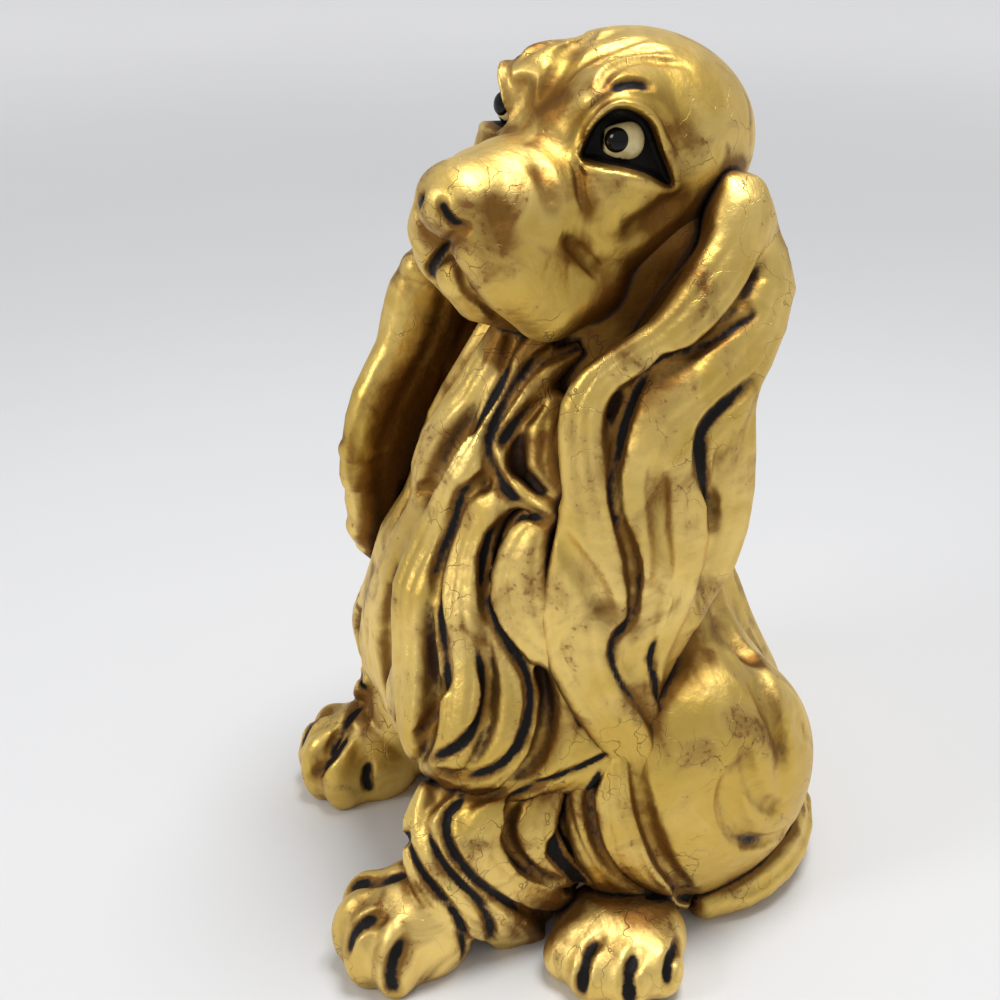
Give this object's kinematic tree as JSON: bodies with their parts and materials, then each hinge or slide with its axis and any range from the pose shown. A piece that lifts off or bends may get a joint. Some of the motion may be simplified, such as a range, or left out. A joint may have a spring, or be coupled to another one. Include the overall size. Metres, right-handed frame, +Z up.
{
  "type": "dog figurine",
  "caption": "Seated spaniel ornament with long wavy ears, gilded finish and inset glass eyes, looking to its left.",
  "frame": {"origin": "middle of the footprint of the bounding box, on the plane the figurine stands on", "axes": "+Z up, the dog's chest faces -Y, the dog's left is +X"},
  "size_m": [0.2394, 0.2272, 0.3493],
  "materials": {
    "gilding": "cast resin, gold leaf with umber wash in the hollows",
    "eye_glass": "polished cream glass",
    "pupil_glass": "polished black glass"
  },
  "bodies": {
    "root": {"torso": "gilding", "head": "gilding", "ear_left": "gilding", "ear_right": "gilding", "chest_ruff": "gilding", "foreleg_left": "gilding", "foreleg_right": "gilding", "hind_foot_left": "gilding", "hind_foot_right": "gilding", "tail": "gilding", "eye_left": "eye_glass", "eye_right": "eye_glass", "pupil_left": "pupil_glass", "pupil_right": "pupil_glass"}
  },
  "joints": []
}
